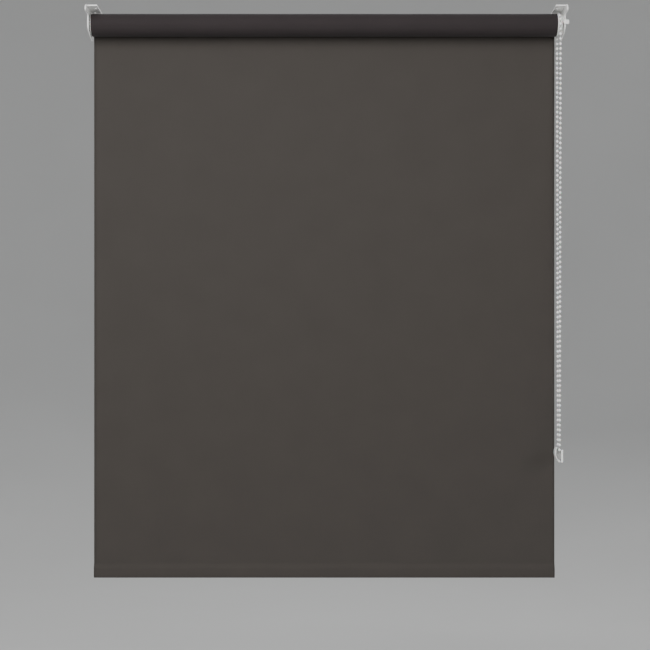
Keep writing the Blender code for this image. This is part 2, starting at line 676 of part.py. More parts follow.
def make_latch():
    """A lever on a pin beside the drive's disc, whose tab comes round the plate's front edge."""
    pivot_y, pivot_up = LATCH_PIVOT
    tab_rear = -PLATE_FRONT - GAP
    tab_middle = (tab_rear - LATCH_TAB_DEPTH / 2, LATCH_TAB_TOP - LATCH_TAB_HEIGHT / 2 - pivot_up)
    reach = (tab_middle[0] - pivot_y, tab_middle[1])
    lean = math.degrees(math.atan2(reach[1], reach[0]))
    round_end = (LATCH_ARM_R, LATCH_ARM_R)
    arm = arc((0, 0), round_end, lean + 270, lean + 90, 10)
    arm += arc(reach, (LATCH_TAB_DEPTH / 2, LATCH_TAB_DEPTH / 2), lean + 90, lean - 90, 6)
    hole = circle((0, 0), LATCH_PIN_R + GAP, 16)
    mesh = outline_mesh("release_latch", [arm, hole], LATCH_WALL)
    latch = stand_in_yz(add_part("release_latch", mesh, WHITE_PLASTIC), (LATCH_IN + LATCH_OUT) / 2)
    latch.location.y = pivot_y
    latch.location.z = AXIS_Z + pivot_up
    low = (LATCH_IN + LATCH_WALL / 2, tab_rear - LATCH_TAB_DEPTH, AXIS_Z + LATCH_TAB_TOP - LATCH_TAB_HEIGHT)
    high = (PLATE_OUT + LATCH_TAB_OUT, tab_rear, AXIS_Z + LATCH_TAB_TOP)
    tab = add_cutter("latch_tab", box_mesh("latch_tab", low, high))
    bevel = tab.modifiers.new("soft edges", "BEVEL")
    bevel.width = 0.8 * MM
    bevel.segments = 2
    combine(latch, tab, "UNION")
    pin = rod_mesh("latch_pin", LATCH_PIN_R, LATCH_IN - GAP / 2, PLATE_OUT - PIN_TIP_INSET, 16)
    add_part("latch_pin", pin, BARE_STEEL, LATCH_AXLE)


# Ball chain: the plain solids of its cord and strands

def strand_point(sign, down_from_wheel):
    """A point of a strand, sign -1 in front and +1 behind, by its distance below the wheel."""
    y = sign * (WHEEL_R * math.cos(STRAND_LEAN) - down_from_wheel * math.sin(STRAND_LEAN))
    z = AXIS_Z - WHEEL_R * math.sin(STRAND_LEAN) - down_from_wheel * math.cos(STRAND_LEAN)
    return (CHAIN_X, y, z)


def make_chain():
    straight = CHAIN_CENTRES * math.cos(STRAND_LEAN)
    for name, sign in (("chain_front_strand", -1), ("chain_rear_strand", 1)):
        ends = [strand_point(sign, WHEEL_LEAD + GAP), strand_point(sign, straight - PULLEY_LEAD - GAP)]
        add_part(name, tube_curve(name, ends, BEAD_R), WHITE_PLASTIC)
    lean = math.degrees(STRAND_LEAN)
    over = arc((0, AXIS_Z), (WHEEL_R, WHEEL_R), -lean, 180 + lean, 24)
    points = [strand_point(1, WHEEL_LEAD)] + [(CHAIN_X, y, z) for y, z in over]
    points.append(strand_point(-1, WHEEL_LEAD))
    add_part("chain_over_wheel", tube_curve("chain_over_wheel", points, CHAIN_CORD_R), WHITE_PLASTIC)
    under = arc((0, PULLEY_Z), (PULLEY_R, PULLEY_R), 180 + lean, 360 - lean, 16)
    points = [strand_point(-1, straight - PULLEY_LEAD)] + [(CHAIN_X, y, z) for y, z in under]
    points.append(strand_point(1, straight - PULLEY_LEAD))
    add_part("chain_under_pulley", tube_curve("chain_under_pulley", points, CHAIN_CORD_R), WHITE_PLASTIC)


# Chain tensioner

def cover_wall(offset, low, high, steps=16):
    """The cover's elliptic wall in (X, Z), offset outwards, from a low to a high place."""
    centre = (COVER_CENTRE_X, PULLEY_Z - COVER_CENTRE_BELOW)
    bulge, rise = COVER_BULGE + offset, PULLEY_R + COVER_RISE + offset
    start = math.degrees(math.asin((low - centre[1]) / rise))
    end = math.degrees(math.asin((high - centre[1]) / rise))
    return arc(centre, (bulge, rise), 180 - start, 180 - end, steps)


def make_tensioner():
    top, bottom = PULLEY_Z + BASE_ABOVE, PULLEY_Z - BASE_BELOW
    back = PLATE_OUT - BASE_IN
    front = PULLEY_HIGH + GAP
    rims = back - BASE_DEPTH
    holes = [circle((side * BASE_SCREW_Y, PULLEY_Z - BASE_SCREW_BELOW), BASE_SCREW_R, 16)
             for side in (-1, 1)]
    holes.append(circle((0, PULLEY_Z), AXLE_R + GAP, 16))
    plate = rounded_box((-BASE_HALF_WIDTH, bottom), (BASE_HALF_WIDTH, top), BASE_CORNER)
    mesh = outline_mesh("tensioner_base", [plate, *holes], BASE_DEPTH)
    base = stand_in_yz(add_part("tensioner_base", mesh, WHITE_PLASTIC), (rims + back) / 2)
    between = BASE_HALF_WIDTH - BASE_RIM
    room = box_mesh("base_room", (rims - GAP, -between, bottom - GAP), (front, between, top + GAP))
    combine(base, add_cutter("base_room", room), "DIFFERENCE")

    wall_top, wall_bottom = PULLEY_Z + COVER_TOP, PULLEY_Z - COVER_FOOT
    half = COVER_WALL / 2
    foot_in = PLATE_OUT - FOOT_IN
    foot_out = foot_in + FOOT_WIDTH
    foot_top = wall_bottom + FOOT_HEIGHT
    outer = cover_wall(half, wall_bottom + FOOT_HEIGHT / 3, wall_top)
    inner = cover_wall(-half, foot_top, wall_top)
    profile = outer + inner[::-1] + [(foot_out, foot_top), (foot_out, wall_bottom),
                                     (foot_in + FOOT_WIDTH / 3, wall_bottom)]
    mesh = outline_mesh("tensioner_cover", [profile], 2 * COVER_HALF_WIDTH)
    cover = stand_in_xz(add_part("tensioner_cover", mesh, WHITE_PLASTIC))
    wall_in = COVER_CENTRE_X - COVER_BULGE
    boss = rod_mesh("cover_boss", COVER_BOSS_R, wall_in, PULLEY_LOW - GAP)
    combine(cover, add_cutter("cover_boss", boss, PULLEY_AXLE), "UNION")
    tab = box_mesh("foot_tab", (foot_out - half, -FOOT_TAB_HALF, wall_bottom + half),
                   (front - GAP, FOOT_TAB_HALF, wall_bottom + half + COVER_WALL))
    combine(cover, add_cutter("foot_tab", tab), "UNION")
    axle_in = wall_in + half
    bore = rod_mesh("cover_bore", AXLE_R + GAP, axle_in - GAP, PULLEY_LOW, 16)
    combine(cover, add_cutter("cover_bore", bore, PULLEY_AXLE), "DIFFERENCE")
    axle = rod_mesh("tensioner_axle", AXLE_R, axle_in, back - GAP, 16)
    add_part("tensioner_axle", axle, BARE_STEEL, PULLEY_AXLE)

    tooth_r = PULLEY_R - CHAIN_CORD_R - TOOTH_GAP
    pulley = [(PULLEY_FLANGE_R, PULLEY_HIGH), (PULLEY_FLANGE_R, PULLEY_HIGH - PULLEY_FLANGE),
              (tooth_r, PULLEY_HIGH - PULLEY_FLANGE), (tooth_r, PULLEY_LOW + PULLEY_FLANGE),
              (PULLEY_FLANGE_R, PULLEY_LOW + PULLEY_FLANGE), (PULLEY_FLANGE_R, PULLEY_LOW),
              (AXLE_R + GAP, PULLEY_LOW), (AXLE_R + GAP, PULLEY_HIGH)]
    wheel = turned(add_part("tensioner_pulley", profile_mesh("tensioner_pulley", pulley, True),
                            GREY_PLASTIC, PULLEY_AXLE), 40)
    combine(wheel, pocket_cutter("pulley_pockets", PULLEY_R, PULLEY_POCKETS, PULLEY_AXLE), "DIFFERENCE")

    make_cradle(rims - GAP)


def make_cradle(outer):
    """Two cheeks in front of and behind the pulley, joined by a floor under it."""
    cheek_in = PULLEY_R + BEAD_R + CRADLE_SPACE
    cheek_out = cheek_in + CRADLE_WALL
    top = PULLEY_Z - CRADLE_TOP
    bottom = PULLEY_Z - COVER_FOOT + FOOT_HEIGHT + GAP
    shape = [(outer, bottom)] + cover_wall(-COVER_WALL / 2 - GAP, bottom, top) + [(outer, top)]
    mesh = outline_mesh("tensioner_cradle", [shape], 2 * cheek_out)
    cradle = stand_in_xz(add_part("tensioner_cradle", mesh, GREY_PLASTIC))
    room = box_mesh("cradle_room", (0, -cheek_in, bottom + CRADLE_WALL), (PLATE_OUT, cheek_in, top + GAP))
    combine(cradle, add_cutter("cradle_room", room), "DIFFERENCE")


for old in list(bpy.data.objects):
    bpy.data.objects.remove(old)
PARTS = new_collection("roller_blind")
CUTTERS = new_collection("cutters")
ROLLER_AXLE = add_axle("roller_axle", AXIS_Z)
PULLEY_AXLE = add_axle("pulley_axle", PULLEY_Z)
LATCH_AXLE = add_axle("latch_axle", AXIS_Z + LATCH_PIVOT[1])
LATCH_AXLE.location.y = LATCH_PIVOT[0]

make_brackets()
make_tube()
make_fabric()
make_hem()
make_idle_end()
make_core(make_wheel())
make_latch()
make_chain()
make_tensioner()
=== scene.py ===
"""The looks of a chain-operated roller blind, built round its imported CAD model.

Metres, +Z up, +X along the roller, +Y towards the window. The origin is in the ceiling plane, midway
between the brackets. The cloth leaves the back of the roll, so a person in the room sees the cloth's
face where it hangs and its back where it is wound.
"""

import math

import bmesh
import bpy
import numpy as np
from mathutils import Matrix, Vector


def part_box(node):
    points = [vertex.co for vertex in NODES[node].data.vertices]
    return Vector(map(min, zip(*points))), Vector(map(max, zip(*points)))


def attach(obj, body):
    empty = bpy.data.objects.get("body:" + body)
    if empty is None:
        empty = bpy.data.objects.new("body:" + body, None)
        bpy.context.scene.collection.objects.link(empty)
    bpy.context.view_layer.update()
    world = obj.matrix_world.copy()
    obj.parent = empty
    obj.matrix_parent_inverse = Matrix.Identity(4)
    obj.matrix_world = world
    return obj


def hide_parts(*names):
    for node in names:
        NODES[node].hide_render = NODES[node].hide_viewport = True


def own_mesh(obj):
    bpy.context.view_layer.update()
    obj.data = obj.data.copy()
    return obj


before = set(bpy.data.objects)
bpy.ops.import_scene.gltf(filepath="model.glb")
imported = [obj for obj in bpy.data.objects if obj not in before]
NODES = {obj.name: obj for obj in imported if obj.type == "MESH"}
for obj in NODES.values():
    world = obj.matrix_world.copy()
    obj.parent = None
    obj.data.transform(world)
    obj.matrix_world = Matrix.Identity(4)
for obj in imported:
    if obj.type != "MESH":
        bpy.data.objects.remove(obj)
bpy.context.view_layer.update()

MM = 0.001
TURN = 2 * math.pi


def extent(node, axis):
    """Lowest and highest place of a CAD node along an axis, 0 for X, 1 for Y and 2 for Z."""
    low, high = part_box(node)
    return low[axis], high[axis]


def middle(node, axis):
    """The place halfway along a CAD node."""
    return sum(extent(node, axis)) / 2


# Measures that the CAD nodes give, and those of the cloth and the ball chain that they don't
AXIS_Z = middle("fabric_roll", 2)
ROLL_R = (extent("fabric_roll", 2)[1] - extent("fabric_roll", 2)[0]) / 2
CLOTH_X = extent("fabric_sheet", 0)
CLOTH_Y = middle("fabric_sheet", 1)
CLOTH_BOTTOM = extent("fabric_sheet", 2)[0]
CLOTH_THICKNESS = 0.5 * MM
WELD_ABOVE = 6 * MM        # how far above the bar's pocket its two layers are welded together
CHAIN_X = middle("chain_front_strand", 0)
PULLEY_Z = middle("tensioner_pulley", 2)
BEAD_PITCH = 8.3 * MM
BEAD_R = 2.3 * MM
CORD_R = 0.65 * MM
TOOTH_BELOW = 1.27 * MM    # from the chain's pitch line down to the floor of a wheel's groove
WHEEL_POCKETS, PULLEY_POCKETS = 13, 6
WHEEL_R = WHEEL_POCKETS * BEAD_PITCH / TURN
PULLEY_R = PULLEY_POCKETS * BEAD_PITCH / TURN
POCKET_R = BEAD_R + 0.25 * MM
GROOVE_HALF = BEAD_R + 0.3 * MM
HUB_R, WHEEL_BORE_R, PULLEY_BORE_R = 9.8 * MM, 6.3 * MM, 2.3 * MM
POCKET_STEPS = 18
BEADS = 183
CHAIN_NODES = ("chain_front_strand", "chain_rear_strand", "chain_over_wheel", "chain_under_pulley")

# The camera: level, in front of the lower half, with its frame moved up to take in the brackets. The
# moves are shares of the frame's side.
EYE = (0.0, -2.294, -0.657)
LENS = 75.32
FRAME_SIDE = 650
FRAME_RIGHT, FRAME_UP = -1.5 / FRAME_SIDE, 75 / FRAME_SIDE


def add_camera():
    data = bpy.data.cameras.new("camera")
    data.sensor_width = 36
    data.lens = LENS
    data.shift_x = FRAME_RIGHT
    data.shift_y = FRAME_UP
    data.clip_start = 0.05
    data.clip_end = 60
    camera = bpy.data.objects.new("camera", data)
    camera.location = EYE
    camera.rotation_euler = (math.pi / 2, 0, 0)
    bpy.context.scene.collection.objects.link(camera)
    bpy.context.scene.camera = camera


# Tools: grids of points, meshes, and shader nodes

def grid_faces(rows, columns, wrap=(False, False), flip=False):
    """Four corners for each cell of a grid of points. The last row or column meets the first where
    wrap says so. It also gives the corners' unwrapped rows and columns, which texture places need."""
    i, j = np.meshgrid(np.arange(rows - (not wrap[0])), np.arange(columns - (not wrap[1])),
                       indexing="ij")
    i, j = i.reshape(-1, 1), j.reshape(-1, 1)
    order = [0, 1, 2, 3][:: -1 if flip else 1]
    row, column = i + np.array([0, 1, 1, 0])[order], j + np.array([0, 0, 1, 1])[order]
    return (row % rows) * columns + column % columns, row, column


def new_piece(name, points, faces, finishes, uv=None, face_finish=None, crease=35, closed=True):
    """A mesh object at the origin. Edges sharper than crease degrees stay sharp, and a closed
    surface gets its normals turned outwards."""
    mesh = bpy.data.meshes.new(name)
    mesh.from_pydata(np.reshape(points, (-1, 3)).tolist(), [], faces)
    if uv is not None:
        mesh.uv_layers.new(name="UVMap").data.foreach_set("uv", np.ravel(uv))
    for finish in finishes:
        mesh.materials.append(finish)
    if face_finish is not None:
        mesh.polygons.foreach_set("material_index", face_finish)
    if closed:
        shape = bmesh.new()
        shape.from_mesh(mesh)
        bmesh.ops.remove_doubles(shape, verts=shape.verts, dist=1e-7)
        bmesh.ops.recalc_face_normals(shape, faces=shape.faces)
        shape.to_mesh(mesh)
        shape.free()
    mesh.polygons.foreach_set("use_smooth", [True] * len(mesh.polygons))
    mesh.set_sharp_from_angle(angle=math.radians(crease))
    piece = bpy.data.objects.new(name, mesh)
    bpy.context.scene.collection.objects.link(piece)
    return piece


def stand_for(piece, body, slot, *nodes):
    """The piece moves with the body and is shown in place of the nodes. The slot is not used."""
    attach(piece, body)
    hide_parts(*nodes)
    return piece


def thickened(piece, offset):
    """Gives open cloth its thickness, inwards at offset -1 and both ways at 0, and its back finish."""
    wall = piece.modifiers.new("thickness", "SOLIDIFY")
    wall.thickness = CLOTH_THICKNESS
    wall.offset = offset
    wall.material_offset = 1
    wall.material_offset_rim = 1
    return piece


def eased(node, name, finish, body, slot, width, segments=2, crease=32):
    """A CAD node's surface with its triangles merged and every sharp edge rounded to this width."""
    shape = bmesh.new()
    shape.from_mesh(NODES[node].data)
    bmesh.ops.remove_doubles(shape, verts=shape.verts, dist=1e-6)
    bmesh.ops.dissolve_limit(shape, angle_limit=math.radians(0.6), verts=shape.verts, edges=shape.edges)
    mesh = bpy.data.meshes.new(name)
    shape.to_mesh(mesh)
    shape.free()
    mesh.materials.clear()
    mesh.materials.append(finish)
    mesh.polygons.foreach_set("material_index", [0] * len(mesh.polygons))
    mesh.polygons.foreach_set("use_smooth", [True] * len(mesh.polygons))
    mesh.set_sharp_from_angle(angle=math.radians(crease))
    piece = bpy.data.objects.new(name, mesh)
    bpy.context.scene.collection.objects.link(piece)
    bevel = piece.modifiers.new("rounded edges", "BEVEL")
    bevel.width = width
    bevel.segments = segments
    bevel.limit_method = "ANGLE"
    bevel.angle_limit = math.radians(crease)
    bevel.use_clamp_overlap = True
    bevel.harden_normals = True
    return stand_for(piece, body, slot, node)


def rounded(profile, radius, steps=3):
    """A closed outline with each corner cut back by the radius and carried round on a parabola:
    the corner's two cut points and the corner itself are the parabola's three control points."""
    here = np.array(profile, float)
    before, after = np.roll(here, 1, axis=0), np.roll(here, -1, axis=0)

    def cut(to):
        way = to - here
        length = np.linalg.norm(way, axis=1, keepdims=True)
        return here + way * np.minimum(radius / length, 0.45)

    t = np.linspace(0, 1, steps + 1)[None, :, None]
    start, end = cut(before)[:, None], cut(after)[:, None]
    curve = (1 - t) ** 2 * start + 2 * t * (1 - t) * here[:, None] + t**2 * end
    return curve.reshape(-1, 2)


def add(tree, kind, inputs=None, **settings):
    """One node, with its settings, and with a value or a link for each input named."""
    made = tree.nodes.new(kind)
    for key, value in settings.items():
        setattr(made, key, value)
    for key, value in (inputs or {}).items():
        if isinstance(value, bpy.types.NodeSocket):
            tree.links.new(value, made.inputs[key])
        else:
            made.inputs[key].default_value = value
    return made


def linear(code):
    """A linear colour from an sRGB hex value such as 4C4743."""
    parts = np.array([int(code[i:i + 2], 16) for i in (0, 2, 4)]) / 255
    parts = np.where(parts <= 0.04045, parts / 12.92, ((parts + 0.055) / 1.055) ** 2.4)
    return (*parts.tolist(), 1.0)


def new_finish(title, **constants):
    """A material with one Principled shader, whose even values stand on its own sockets."""
    material = bpy.data.materials.new(title)
    material.use_nodes = True
    tree = material.node_tree
    tree.nodes.clear()
    sockets = {name.replace("_", " "): value for name, value in constants.items()}
    shader = add(tree, "ShaderNodeBsdfPrincipled", sockets)
    add(tree, "ShaderNodeOutputMaterial", {"Surface": shader.outputs[0]})
    return material, tree, shader


def noise(tree, place, size, detail=2.0, stretch=(1, 1, 1)):
    """Cloudy variation whose blobs are about size metres across, drawn out by stretch."""
    scale = [1 / (size * s) for s in stretch]
    mapped = add(tree, "ShaderNodeMapping", {"Vector": place, "Scale": scale})
    blobs = {"Vector": mapped.outputs[0], "Scale": 1.0, "Detail": detail}
    return add(tree, "ShaderNodeTexNoise", blobs).outputs[0]


def mixed(tree, share, low, high):
    """A colour from low to high, two sRGB hex values, as share goes from 0 to 1."""
    return add(tree, "ShaderNodeMix", {"Factor": share, "A": linear(low), "B": linear(high)},
               data_type="RGBA").outputs["Result"]


def spread(tree, share, low=0.0, high=1.0):
    """A number from low to high as share goes from 0.3 to 0.7, where most noise lies."""
    return add(tree, "ShaderNodeMapRange", {"Value": share, "From Min": 0.3, "From Max": 0.7,
                                            "To Min": low, "To Max": high}).outputs[0]


def relief(tree, shader, height, depth):
    """Bumps whose height runs from 0 to depth metres as the given value goes from 0 to 1."""
    bump = add(tree, "ShaderNodeBump", {"Height": height, "Strength": 1.0, "Distance": depth})
    tree.links.new(bump.outputs[0], shader.inputs["Normal"])


def plain_finish(name, tones, roughness, grain, depth, patch=30 * MM, stretch=(1, 1, 1), **constants):
    """A moulded, painted or metal surface: two tones in soft patches, uneven gloss and a fine grain."""
    material, tree, shader = new_finish(name, **constants)
    place = add(tree, "ShaderNodeTexCoord").outputs["Object"]
    tone = mixed(tree, spread(tree, noise(tree, place, patch)), *tones)
    tree.links.new(tone, shader.inputs["Base Color"])
    fine = noise(tree, place, grain, 3.0, stretch)
    gloss = noise(tree, place, 6 * grain, 2.0, stretch)
    tree.links.new(spread(tree, gloss, *roughness), shader.inputs["Roughness"])
    relief(tree, shader, fine, depth)
    return material


THREAD = 0.8 * MM    # between thread middles: drawn at twice the real spacing, so that they show


def woven_finish(name, lit_thread_tone, gap_shade_tone, sheen):
    """Coated plain-weave polyester. Along each direction a thread's height is the size of a sine of
    the place over the thread spacing. Where the two sines agree in sign the warp thread lies on top,
    and elsewhere the weft. The coating levels most of it, and lets slightly thick threads show as
    faint streaks both ways. The height also paints light and shade into the colour: the low places
    between threads take the darker gap tone as painted shade, and the thread tops take the lighter
    tone as painted light."""
    material, tree, shader = new_finish(name, Roughness=0.82, Sheen_Weight=sheen, Sheen_Roughness=0.45,
                                        Specular_IOR_Level=0.3)
    place = add(tree, "ShaderNodeTexCoord").outputs["UV"]
    parts = add(tree, "ShaderNodeSeparateXYZ", {"Vector": place})

    def maths(operation, *values):
        return add(tree, "ShaderNodeMath", dict(enumerate(values)), operation=operation).outputs[0]

    warp, weft = (maths("SINE", maths("MULTIPLY", parts.outputs[i], math.pi / THREAD)) for i in (0, 1))
    top = maths("GREATER_THAN", maths("MULTIPLY", warp, weft), 0.0)
    warp_height, weft_height = maths("ABSOLUTE", warp), maths("ABSOLUTE", weft)
    heights = {"Factor": top, "A": weft_height, "B": warp_height}
    height = add(tree, "ShaderNodeMix", heights).outputs["Result"]
    along = noise(tree, place, THREAD, 1.0, (1, 60, 1))
    across = noise(tree, place, THREAD, 1.0, (60, 1, 1))
    slub = maths("MULTIPLY", maths("ADD", along, across), 0.5)
    cloud = noise(tree, place, 60 * MM)
    # Painted light and shade: thread height darkens the low places between threads and lightens the
    # tops; the slub adds the threads' own uneven tone.
    shade = maths("MULTIPLY_ADD", height, 0.55, maths("MULTIPLY", slub, 0.45))
    tint = mixed(tree, shade, gap_shade_tone, lit_thread_tone)
    value = spread(tree, cloud, 0.97, 1.03)
    coloured = add(tree, "ShaderNodeHueSaturation", {"Color": tint, "Value": value}).outputs[0]
    tree.links.new(coloured, shader.inputs["Base Color"])
    relief(tree, shader, maths("ADD", height, slub), 0.05 * MM)
    return material


# Finishes. White powder coat on steel sheet: satin, with the shallow waves of orange peel.
POWDER_COAT = plain_finish("white_powder_coated_steel", ("E3E3E1", "EEEEEC"), (0.36, 0.44), 1.1 * MM,
                           0.025 * MM)
# White ABS from an eroded mould: a fine even grain that breaks up the gloss, slightly translucent.
WHITE_ABS = plain_finish("moulded_white_abs", ("E6E6E3", "F0F0ED"), (0.38, 0.5), 0.35 * MM, 0.012 * MM,
                         Subsurface_Weight=0.08, Subsurface_Scale=0.6 * MM, IOR=1.53)
# Acetal balls from a polished mould: smooth and glossy, with milky depth.
ACETAL_BALLS = plain_finish("moulded_white_acetal", ("F0F0EE", "F8F8F6"), (0.2, 0.28), 1.5 * MM,
                            0.006 * MM, patch=12 * MM, Subsurface_Weight=0.12,
                            Subsurface_Scale=0.8 * MM, IOR=1.48)
# Grey ABS inside the tensioner and the tube: the same grain as the white, and duller.
GREY_ABS = plain_finish("moulded_grey_abs", ("8A8A88", "949492"), (0.45, 0.56), 0.35 * MM, 0.014 * MM,
                        IOR=1.53)
# Glass-filled nylon of the weight bar's caps: near black, with streaky flow marks.
DARK_NYLON = plain_finish("moulded_glass_filled_nylon", ("26231F", "312D28"), (0.42, 0.6), 0.5 * MM,
                          0.02 * MM, stretch=(4, 1, 1), IOR=1.53)
# Extruded aluminium: die lines run along the bar and stretch its highlights across it.
EXTRUDED_ALUMINIUM = plain_finish("extruded_aluminium", ("BFC1C3", "CBCDCF"), (0.28, 0.42), 0.25 * MM,
                                  0.008 * MM, stretch=(120, 1, 1), Metallic=1.0)
# Hard-drawn spring wire: dark, with fine drawing lines and an oily gloss.
SPRING_WIRE = plain_finish("drawn_spring_steel", ("6E6D6B", "82817F"), (0.24, 0.36), 0.3 * MM,
                           0.006 * MM, Metallic=1.0)
# Zinc-plated turned steel of the pins, pale and slightly blue.
ZINC_STEEL = plain_finish("zinc_plated_steel", ("AEB1B5", "BEC1C4"), (0.26, 0.38), 0.3 * MM, 0.006 * MM,
                          stretch=(1, 6, 6), Metallic=1.0)
# Blackout polyester: a flat warm dark grey towards the room, and a darker, redder coated back.
# The second tone of each is painted shade for the low places between the threads.
CLOTH_FACE = woven_finish("coated_polyester_face", "3F3A36", "33302D", 0.06)
CLOTH_BACK = woven_finish("coated_polyester_back", "2B2526", "241E1F", 0.07)


# Ball chain, the first of the pieces: an endless loop over the wheel and round the pulley
CENTRES = AXIS_Z - PULLEY_Z
LEAN = math.asin((WHEEL_R - PULLEY_R) / CENTRES)
STRAIGHT = CENTRES * math.cos(LEAN)
QUARTER = WHEEL_R * (math.pi / 2 + LEAN)
UNDER = PULLEY_R * (math.pi - 2 * LEAN)
LOOP = 2 * STRAIGHT + 2 * QUARTER + UNDER


def chain_place(along):
    """Y, Z and the two parts of the direction, at a distance along the loop from the wheel's top.
    The loop is a circle's arc down the wheel's front, a straight strand leaning in to the pulley, a
    near half circle under it, the other strand, and an arc up the wheel's back."""
    marks = np.cumsum([0, QUARTER, STRAIGHT, UNDER, STRAIGHT])
    part = [np.mod(along, LOOP) - mark for mark in marks]
    down, up = math.pi + LEAN, -LEAN
    over = math.pi / 2 + part[0] / WHEEL_R
    under = down + part[2] / PULLEY_R
    rising = up + part[4] / WHEEL_R
    y = [WHEEL_R * np.cos(over), WHEEL_R * math.cos(down) + part[1] * math.sin(LEAN),
         PULLEY_R * np.cos(under), PULLEY_R * math.cos(up) + part[3] * math.sin(LEAN),
         WHEEL_R * np.cos(rising)]
    z = [AXIS_Z + WHEEL_R * np.sin(over), AXIS_Z + WHEEL_R * math.sin(down) - part[1] * math.cos(LEAN),
         PULLEY_Z + PULLEY_R * np.sin(under),
         PULLEY_Z + PULLEY_R * math.sin(up) + part[3] * math.cos(LEAN),
         AXIS_Z + WHEEL_R * np.sin(rising)]
    angle = [over, down + 0 * over, under, TURN + up + 0 * over, rising]
    which = [p < end for p, end in zip(part, (QUARTER, STRAIGHT, UNDER, STRAIGHT, 2 * QUARTER))]
    turned = np.select(which, angle)
    return np.select(which, y), np.select(which, z), -np.sin(turned), np.cos(turned)


def carried(along, ahead, side, out):
    """Points beside the loop: ahead along its direction, side along X, out away from its inside."""
    y, z, ty, tz = chain_place(along)
    return np.stack([CHAIN_X + side + 0 * y, y + ahead * ty + out * tz, z + ahead * tz - out * ty],
                    axis=-1)


def make_chain():
    """A round cord carried along the loop, and balls threaded on it a pitch apart. A ball's outline is
    a circle's, drawn out at both poles into a short neck that grips the cord."""
    rings, sides = BEADS * 5, 8
    along = np.arange(rings)[:, None] * LOOP / rings
    around = np.arange(sides)[None, :] * TURN / sides
    cord = carried(along + 0 * around, 0, CORD_R * np.cos(around), CORD_R * np.sin(around))
    faces, row, column = grid_faces(rings, sides, (True, True))
    uv = np.stack([row * LOOP / rings, column * TURN * CORD_R / sides], axis=-1)

    polar = np.radians([18, 40, 65, 90, 115, 140, 162])
    ball_rows, ball_columns = len(polar), 10
    angle = np.arange(ball_columns) * TURN / ball_columns
    radius = np.maximum(BEAD_R * np.sin(polar), 1.15 * CORD_R)
    radius[[0, -1]] = 0.8 * CORD_R
    ahead = -BEAD_R * np.cos(polar) * np.array([1.12, 1.02, 1, 1, 1, 1.02, 1.12])
    middles = (np.arange(BEADS) + 0.5)[:, None, None] * BEAD_PITCH
    balls = carried(middles + np.zeros((1, ball_rows, ball_columns)), ahead[None, :, None],
                    (radius[:, None] * np.cos(angle))[None], (radius[:, None] * np.sin(angle))[None])
    quads, _, _ = grid_faces(ball_rows, ball_columns, (False, True))
    count, first = ball_rows * ball_columns, rings * sides
    starts = first + count * np.arange(BEADS)[:, None]
    ball_faces = (quads[None] + starts[:, :, None]).reshape(-1, 4)
    ends = np.concatenate([np.arange(ball_columns) + starts,
                           np.arange(count - 1, count - ball_columns - 1, -1) + starts])
    every = faces.tolist() + ball_faces.tolist() + ends.tolist()
    corners = sum(len(face) for face in every) - faces.size
    places = np.concatenate([uv.reshape(-1, 2), np.zeros((corners, 2))])
    finish = np.repeat([0, 1], [len(faces), len(ball_faces) + len(ends)])
    chain = new_piece("ball_chain", np.concatenate([cord.reshape(-1, 3), balls.reshape(-1, 3)]), every,
                      [POLYESTER_CORD, ACETAL_BALLS], places, finish, crease=60)
    stand_for(chain, "mount", "chain_plastic", *CHAIN_NODES)


RIDGE_UNIT = 1.6 * MM      # the pattern repeats every 0.63 of this, so its ridges are 1 mm apart


def twisted_cord():
    """White polyester cord: three strands laid up, whose twist shows as slanting ridges. The ridges
    also set the colour as painted light and shade: lighter on the crests, darker in the grooves.
    """
    material, tree, shader = new_finish("twisted_polyester_cord", Roughness=0.75, Sheen_Weight=0.2)
    place = add(tree, "ShaderNodeTexCoord").outputs["UV"]
    turned = add(tree, "ShaderNodeMapping", {"Vector": place, "Rotation": (0, 0, math.radians(35)),
                                             "Scale": (1 / RIDGE_UNIT,) * 3})
    ridges = add(tree, "ShaderNodeTexWave", {"Vector": turned.outputs[0], "Scale": 0.5,
                                             "Distortion": 1.5, "Detail": 2.0}).outputs["Fac"]
    # Painted shade: the grooves between ridges are darker and the crests lighter.
    tone = mixed(tree, spread(tree, ridges), "8E8E8A", "B4B4B0")
    tree.links.new(tone, shader.inputs["Base Color"])
    relief(tree, shader, ridges, 0.12 * MM)
    return material


POLYESTER_CORD = twisted_cord()


# Cloth
ROLL_DEPTH = 2.4 * MM      # from the tube to the outside of the wound cloth
LAYER = 0.48 * MM          # from one wound layer to the next
ROLL_STEPS = 144


